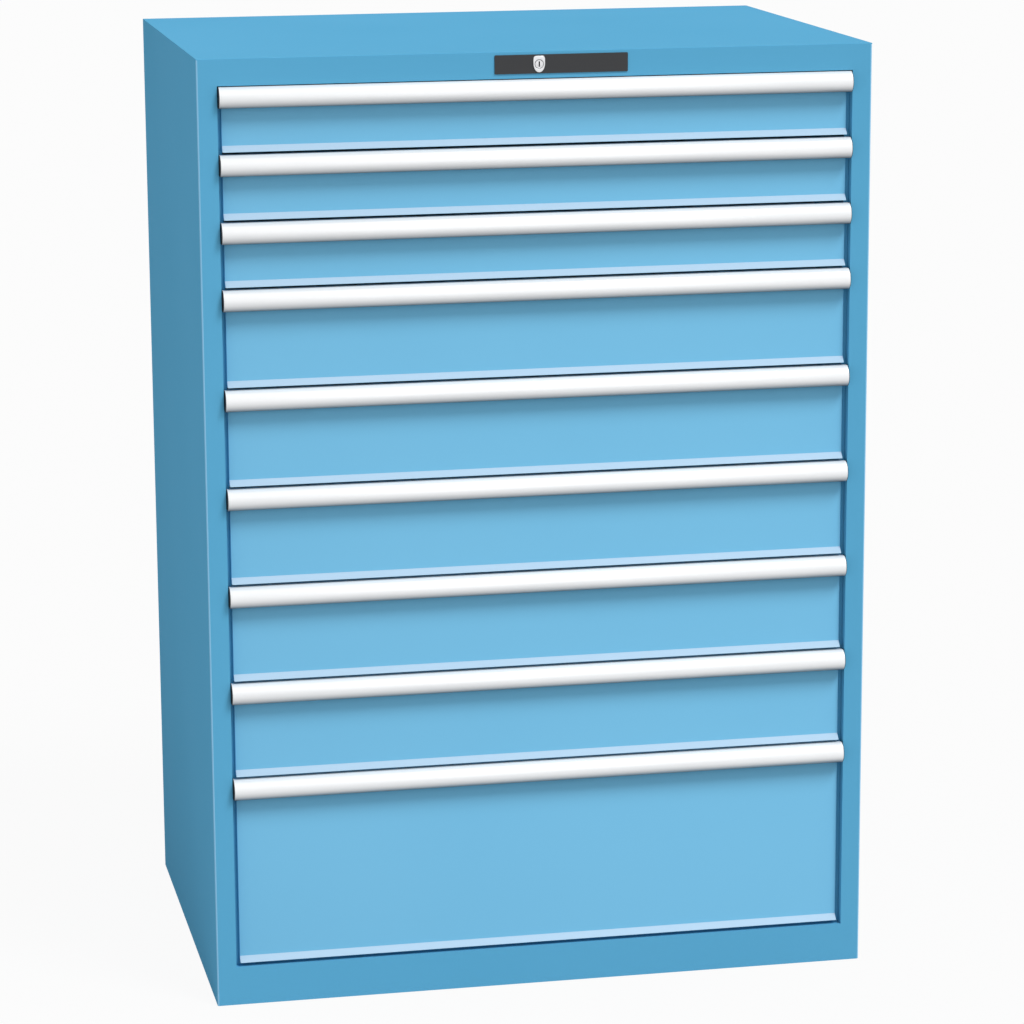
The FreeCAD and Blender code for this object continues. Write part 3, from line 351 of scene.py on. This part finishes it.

# Handles: aluminium grip rails extruded to the whole width of the opening, satin anodised. The
# round nose hangs from a strip screwed to the front and leaves room for the fingers below.
# Extrusion leaves faint lines along the rail, and painted shade darkens the nose's underside.

NOSE_WALL = 0.0015
NOSE_FALL = 0.0015
NOSE_BULGE = 0.012
NOSE_STEPS = 28
STRIP_DROP = 0.014
RAIL_EDGE = 0.0003
CAP_FLANGE = 0.0007
SHARP_CORNER = math.radians(50)
ALUMINIUM = linear(243, 244, 245)
ALUMINIUM_GREY = linear(226, 228, 230)
ALUMINIUM_PAINTED_SHADE = linear(78, 81, 85)
UNDER_SHADE_START = -0.1
UNDER_SHADE_WHOLE = -0.9
LINE_SIZE = 0.0007
LINE_STRETCH = (0.004, 1.0, 1.0)
LINE_DEPTH = 0.000015
LINE_ROUGHNESS = (0.26, 0.38)
STREAK_SIZE = 0.05
STREAK_STRETCH = (0.15, 4.0, 4.0)

anodised = new_finish("satin_anodised", Metallic=0.2)
lines = anodised.noise(LINE_SIZE, LINE_STRETCH, detail=3.0)
# Painted shade: the rail turns from its bright tones to dark grey as its faces turn downwards.
underside_painted_shade = anodised.node(
    "ShaderNodeMapRange",
    inputs={"Value": anodised.facing("Z"), "From Min": UNDER_SHADE_START, "From Max": UNDER_SHADE_WHOLE},
)
bright = anodised.blend(anodised.noise(STREAK_SIZE, STREAK_STRETCH), ALUMINIUM, ALUMINIUM_GREY)
anodised.set(Base_Color=anodised.blend(underside_painted_shade * underside_painted_shade, bright, ALUMINIUM_PAINTED_SHADE))
anodised.roughen(lines, *LINE_ROUGHNESS)
anodised.skin(lines, LINE_DEPTH)


def nose_centre(node):
    """Centre and radius of the round nose, from the rail's own corners."""
    extent, low, high = size_of(node)
    radius = extent.z / 2 + NOSE_FALL
    rise = math.sqrt(radius ** 2 - (radius - NOSE_BULGE) ** 2)
    return low.y + radius, high.z - rise, radius


def extrude(across=0, back=0, up=0):
    """Draws out what is selected."""
    bpy.ops.mesh.extrude_region_move(TRANSFORM_OT_translate={"value": (across, back, up)})


def round_corners(piece, width, steps=2):
    """Breaks the piece's sharp edges."""
    apply(
        piece, "BEVEL", width=width, segments=steps, limit_method="ANGLE", angle_limit=SHARP_CORNER
    )


def face_ahead(piece):
    """Turns the sheet over if its foremost face looks back."""
    take(piece)
    foremost = min(piece.data.polygons, key=lambda face: face.center.y)
    if foremost.normal.y > 0:
        piece.data.flip_normals()


def copy_of(piece, name, move):
    """A copy with a mesh of its own, moved to its place."""
    take(piece)
    bpy.ops.object.duplicate(linked=False)
    bpy.ops.transform.translate(value=move)
    return new_piece(name)


def grip_rail(node):
    """The whole rail, swept round the nose from one edge in the place of a handle."""
    _, low, high = size_of(node)
    whole, _, _ = size_of(node + "_end_caps")
    length = whole.x - 2 * CAP_FLANGE
    centre_y, centre_z, radius = nose_centre(node)
    lip = low.y + NOSE_BULGE
    bpy.ops.object.select_all(action="DESELECT")
    bpy.ops.mesh.primitive_plane_add(size=length, location=(0, lip + length / 2, high.z))
    rail = new_piece(node + "_rail")
    pick(rail, "VERT", lambda spot, normal: spot.y > lip + NEAR)
    bpy.ops.mesh.delete(type="VERT")
    start = math.atan2(high.z - centre_z, centre_y - lip)
    finish = math.atan2(centre_z - low.z, math.sqrt(radius ** 2 - (centre_z - low.z) ** 2))
    pick(rail, "EDGE")
    bpy.ops.mesh.spin(
        steps=NOSE_STEPS, angle=-(start + finish), center=(0, centre_y, centre_z), axis=(1, 0, 0)
    )
    pick(rail, "EDGE", lambda middle, run: abs(run.x) > length / 2 and middle.z > high.z - NEAR)
    extrude(back=high.y - lip)
    extrude(up=-STRIP_DROP)
    bpy.ops.mesh.select_all(action="SELECT")
    bpy.ops.mesh.normals_make_consistent(inside=False)
    face_ahead(rail)
    thicken(rail, NOSE_WALL)
    round_corners(rail, RAIL_EDGE)
    smooth(rail)
    rail.data.materials.append(anodised.owner)
    return rail


first_rail = grip_rail("drawer_1_handle")
_, first_low, _ = size_of("drawer_1_handle")
for drawer in DRAWERS:
    handle = "drawer_%d_handle" % drawer
    _, handle_low, _ = size_of(handle)
    rail = first_rail
    if drawer > 1:
        rail = copy_of(first_rail, handle + "_rail", handle_low - first_low)
    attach(rail, "drawer_%d" % drawer)
    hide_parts(handle)

# End caps: moulded charcoal caps pressed into both ends of each grip rail, with a thin flange
# that covers the cut end. The lock's cover strip is moulded from the same plastic.

CAP_EDGE = 0.0002
SEED = 0.002
CHARCOAL = linear(50, 51, 53)
CHARCOAL_PALE = linear(56, 57, 59)
CHARCOAL_GRAIN = 0.0006
CHARCOAL_GRAIN_DEPTH = 0.00004
CHARCOAL_ROUGHNESS = (0.44, 0.58)

charcoal = new_finish("charcoal_plastic", Specular_IOR_Level=0.2)
grain = charcoal.noise(CHARCOAL_GRAIN, detail=3.0)
charcoal.set(Base_Color=charcoal.blend(grain, CHARCOAL, CHARCOAL_PALE))
charcoal.roughen(grain, *CHARCOAL_ROUGHNESS)
charcoal.skin(grain, CHARCOAL_GRAIN_DEPTH)
finish_node("lock_strip", charcoal)


def end_flanges(node):
    """The flanges of both caps of a rail as one piece: the nose's outline, grown from a point."""
    whole, low, high = size_of(node + "_end_caps")
    centre_y, centre_z, radius = nose_centre(node)
    start = math.asin((high.z - centre_z) / radius)
    finish = math.asin((centre_z - low.z) / radius)
    top_y = centre_y - radius * math.cos(start)
    half = SEED / 2
    bpy.ops.object.select_all(action="DESELECT")
    bpy.ops.mesh.primitive_plane_add(size=SEED, location=(low.x + half, top_y + half, high.z))
    caps = new_piece(node + "_flanges")
    pick(caps, "VERT", lambda spot, normal: spot.x > low.x + half or spot.y > top_y + half)
    bpy.ops.mesh.delete(type="VERT")
    pick(caps, "VERT")
    extrude(across=CAP_FLANGE)
    pick(caps, "EDGE")
    bpy.ops.mesh.spin(
        steps=NOSE_STEPS, angle=-(start + finish), center=(0, centre_y, centre_z), axis=(1, 0, 0)
    )
    pick(caps, "EDGE", lambda middle, run: abs(run.x) > CAP_FLANGE / 2 and middle.z > high.z - NEAR)
    extrude(back=high.y - top_y)
    extrude(up=low.z - high.z)
    pick(caps, "EDGE", lambda middle, run: abs(run.x) > CAP_FLANGE / 2 and middle.z < low.z + NEAR)
    bpy.ops.mesh.edge_face_add()
    for side in (low.x, low.x + CAP_FLANGE):
        pick(caps, "EDGE", lambda middle, run: abs(middle.x - side) < NEAR)
        bpy.ops.mesh.edge_face_add()
    bpy.ops.mesh.select_all(action="SELECT")
    bpy.ops.mesh.remove_doubles(threshold=NEAR)
    bpy.ops.mesh.normals_make_consistent(inside=False)
    bpy.ops.mesh.select_all(action="SELECT")
    bpy.ops.mesh.duplicate_move(TRANSFORM_OT_translate={"value": (whole.x - CAP_FLANGE, 0, 0)})
    round_corners(caps, CAP_EDGE)
    smooth(caps)
    caps.data.materials.append(charcoal.owner)
    return caps


first_caps = end_flanges("drawer_1_handle")
for drawer in DRAWERS:
    handle = "drawer_%d_handle" % drawer
    _, handle_low, _ = size_of(handle)
    caps = first_caps
    if drawer > 1:
        caps = copy_of(first_caps, handle + "_flanges", handle_low - first_low)
    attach(caps, "drawer_%d" % drawer)
    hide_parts(handle + "_end_caps")

# Escutcheon: a nickel-plated shield with a rounded rim and a hole for the barrel, stuck to the
# cover strip. It is square at its shoulders and rounded at its foot.

NICKEL = linear(214, 214, 216)
NICKEL_DULL = linear(196, 197, 199)
NICKEL_CLOUD = 0.002
SHIELD_SHOULDER = 0.0095
SHIELD_SQUARE = 4.5
SHIELD_ROUND = 2.2
SHIELD_STEPS = 64
SHIELD_RIM = 0.0005
BARREL_PLAY = 0.0007
UPRIGHT_DISC = (math.pi / 2, 0, 0)

nickel = new_finish("satin_nickel", Metallic=0.6, Roughness=0.34)
nickel.set(Base_Color=nickel.blend(nickel.noise(NICKEL_CLOUD), NICKEL, NICKEL_DULL))


def shield_edge(turn, half_width, shoulder, fall):
    """A point of the shield's outline: square-shouldered above, rounded to a foot below."""
    across, upwards = math.cos(turn), math.sin(turn)
    power = 2 / (SHIELD_SQUARE if upwards > 0 else SHIELD_ROUND)
    reach = shoulder if upwards > 0 else fall
    spot_x = math.copysign(half_width * abs(across) ** power, across)
    return spot_x, math.copysign(reach * abs(upwards) ** power, upwards)


def ring_of(radius, centre):
    """An upright circle of loose edges."""
    bpy.ops.mesh.primitive_circle_add(
        vertices=SHIELD_STEPS, radius=radius, location=centre, rotation=UPRIGHT_DISC
    )


def escutcheon():
    extent, low, high = size_of("lock_escutcheon")
    barrel, barrel_low, barrel_high = size_of("lock_barrel")
    axis = (barrel_low + barrel_high) / 2
    shoulder_z = high.z - SHIELD_SHOULDER
    bpy.ops.object.select_all(action="DESELECT")
    ring_of(extent.x / 2, (axis.x, low.y, shoulder_z))
    plate = new_piece("lock_escutcheon_plate")
    for vertex in plate.data.vertices:
        turn = math.atan2(vertex.co.z - shoulder_z, vertex.co.x - axis.x)
        across, rise = shield_edge(turn, extent.x / 2, SHIELD_SHOULDER, shoulder_z - low.z)
        vertex.co.x = axis.x + across
        vertex.co.z = shoulder_z + rise
    bpy.ops.object.mode_set(mode="EDIT")
    ring_of(barrel.x / 2 + BARREL_PLAY, (axis.x, low.y, axis.z))
    bpy.ops.mesh.select_all(action="SELECT")
    bpy.ops.mesh.bridge_edge_loops()
    face_ahead(plate)
    thicken(plate, extent.y)
    round_corners(plate, SHIELD_RIM, steps=3)
    smooth(plate, 40)
    plate.data.materials.append(nickel.owner)
    return plate


shield = escutcheon()
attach(shield, "housing")
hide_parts("lock_escutcheon")

# Lock barrel: a turned, nickel-plated metal plug that the key turns inside the shield. Its face
# has a round groove and the upright slot for the key, whose inside is painted dark as shade.

BARREL_STEPS = 48
BARREL_EDGE = 0.00015
GROOVE_WIDTH = 0.0012
GROOVE_DEPTH = 0.0004
KEY_SLOT_WIDTH = 0.002
KEY_SLOT_HEIGHT = 0.008
KEY_SLOT_DEPTH = 0.005
KEY_SLOT_CLOUD = 0.001

# Painted shade: a dark charcoal finish for the faces inside the key slot.
key_slot_painted_shade = new_finish("key_slot_shade", Roughness=0.7)
key_slot_painted_shade.set(
    Base_Color=key_slot_painted_shade.blend(key_slot_painted_shade.noise(KEY_SLOT_CLOUD), CHARCOAL, CHARCOAL_PALE)
)


def barrel():
    extent, low, high = size_of("lock_barrel")
    middle = (low + high) / 2
    bpy.ops.object.select_all(action="DESELECT")
    bpy.ops.mesh.primitive_cylinder_add(
        vertices=BARREL_STEPS,
        radius=extent.x / 2,
        depth=extent.y,
        location=middle,
        rotation=UPRIGHT_DISC,
    )
    plug = new_piece("lock_barrel_plug")
    front = Vector((middle.x, low.y, middle.z))
    groove = extent.x / 2 - GROOVE_WIDTH
    pick(plug, "FACE", lambda centre, normal: normal.y < -SQUARE_ON)
    bpy.ops.mesh.inset(thickness=GROOVE_WIDTH / 2)
    bpy.ops.mesh.inset(thickness=GROOVE_WIDTH)
    pick(
        plug,
        "FACE",
        lambda centre, normal: abs((centre - front).length - groove) < GROOVE_WIDTH / 4,
    )
    extrude(back=GROOVE_DEPTH)
    reach = Vector((KEY_SLOT_WIDTH / 2, KEY_SLOT_DEPTH, KEY_SLOT_HEIGHT / 2))
    take(plug)
    cutter = block("key_slot_cutter", front - reach, front + reach)
    apply(plug, "BOOLEAN", operation="DIFFERENCE", object=cutter, solver="EXACT")
    bpy.data.objects.remove(cutter)
    round_corners(plug, BARREL_EDGE)
    smooth(plug, 40)
    plug.data.materials.append(nickel.owner)
    plug.data.materials.append(key_slot_painted_shade.owner)
    # The faces inside the key slot take the painted shade.
    for face in plug.data.polygons:
        gap = face.center - front
        across = abs(gap.x) <= reach.x + BARREL_EDGE
        upright = abs(gap.z) <= reach.z + BARREL_EDGE
        face.material_index = int(across and upright and GROOVE_DEPTH < gap.y < extent.y - NEAR)
    return plug


plug = barrel()
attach(plug, "lock_barrel")
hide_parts("lock_barrel")

# Trays: folded light grey sheet with slotted walls for dividers, and the drawer's own channel of
# the runner on both sides. Each tray rolls on a pair of plated carriages.

TRAY_GREY = linear(200, 203, 204)
TRAY_GREY_THIN = linear(206, 209, 210)

tray_paint, tray_tone = powder_coat("grey_powder_coat", TRAY_GREY, TRAY_GREY_THIN)
tray_paint.set(Base_Color=tray_tone)
for drawer in DRAWERS:
    finish_node("drawer_%d_tray" % drawer, tray_paint)
    finish_node("drawer_%d_carriages" % drawer, zinc)

# Floor: a plain pale floor that runs out of sight. The camera and mirrors see it almost white,
# and it keeps a faint shadow of the cabinet.

WHITE = (1, 1, 1, 1)
FLOOR_SIZE = 60
FLOOR_PALE = linear(176, 176, 176)
FLOOR_GLOW = 0.94

floor_finish = new_finish("pale_floor", Base_Color=FLOOR_PALE, Roughness=0.9)


def seen_rays(shade):
    """One where a ray comes from the camera, a mirror or clear glass, and zero elsewhere."""
    camera, mirror, glass = [
        shade.node("ShaderNodeLightPath", out="Is %s Ray" % ray)
        for ray in ("Camera", "Glossy", "Transmission")
    ]
    return shade.node("ShaderNodeMath", {"operation": "MAXIMUM"}, {0: camera + mirror, 1: glass})


matt = Value(floor_finish, floor_finish.shader.outputs["BSDF"])
glow = floor_finish.node("ShaderNodeEmission", inputs={"Color": WHITE, "Strength": 1.0})
seen_floor = floor_finish.node(
    "ShaderNodeMixShader", inputs={0: seen_rays(floor_finish) * FLOOR_GLOW, 1: matt, 2: glow}
)
floor_finish.feed(floor_finish.tree.nodes["Material Output"].inputs["Surface"], seen_floor)

bpy.ops.object.select_all(action="DESELECT")
bpy.ops.mesh.primitive_plane_add(size=FLOOR_SIZE)
floor = new_piece("floor")
floor.data.materials.append(floor_finish.owner)

# Light: even light from all round and a broad key light from above, ahead and to the right, which
# leaves the left side in shade. A soft box ahead lifts the fronts, and one on the left that side.

AMBIENT = 0.55
BACKDROP = 0.975
KEY = 2.3
KEY_FROM = Vector((0.36, -0.45, 0.81))
KEY_SPREAD = math.radians(20)
BOX_SIZE = 2.4
FRONT_BOX = 13.0
FRONT_BOX_PLACE = Vector((0.5, -3.2, 1.5))
FRONT_BOX_AIM = Vector((0, -0.36, 0.85))
SIDE_BOX = 7.0
SIDE_BOX_PLACE = Vector((-2.0, -0.5, 0.9))
SIDE_BOX_AIM = Vector((-0.51, 0, 0.85))

world = bpy.data.worlds.new("studio")
bpy.context.scene.world = world
sky = Shade(world, "Background")
sky.set(Color=WHITE, Strength=AMBIENT + (BACKDROP - AMBIENT) * seen_rays(sky))


def lamp(name, kind, place, towards, energy):
    """A lamp that shines from its place in a direction."""
    bpy.ops.object.light_add(type=kind, location=place)
    made = bpy.context.active_object
    made.name = name
    made.data.energy = energy
    made.rotation_euler = (-towards).to_track_quat("Z", "Y").to_euler()
    return made


key = lamp("key_light", "SUN", KEY_FROM, -KEY_FROM, KEY)
key.data.angle = KEY_SPREAD
for name, place, aim, energy in (
    ("soft_box", FRONT_BOX_PLACE, FRONT_BOX_AIM, FRONT_BOX),
    ("side_box", SIDE_BOX_PLACE, SIDE_BOX_AIM, SIDE_BOX),
):
    soft_box = lamp(name, "AREA", place, aim - place, energy)
    soft_box.data.size = BOX_SIZE
    soft_box.visible_camera = False

# Camera: left of the cabinet and above its lid, looking down on it a little, as in the
# photograph, with no lens shift, so that every other view keeps the cabinet in its frame.

CAMERA_PLACE = (-1.1413, -5.7256, 1.9564)
CAMERA_TURN = 0.2014
CAMERA_DIP = 0.2162
CAMERA_ROLL = -0.0055
CAMERA_REACH = 100
LENS = 129.9
SENSOR_WIDTH = 36

bpy.ops.object.camera_add()
camera = bpy.context.active_object
turned = Matrix.Rotation(-CAMERA_TURN, 4, "Z")
dipped = Matrix.Rotation(math.pi / 2 - CAMERA_DIP, 4, "X")
rolled = Matrix.Rotation(CAMERA_ROLL, 4, "Z")
camera.matrix_world = Matrix.Translation(CAMERA_PLACE) @ turned @ dipped @ rolled
camera.data.lens = LENS
camera.data.sensor_width = SENSOR_WIDTH
camera.data.clip_end = CAMERA_REACH
bpy.context.scene.camera = camera
bpy.context.scene.view_settings.view_transform = "Standard"

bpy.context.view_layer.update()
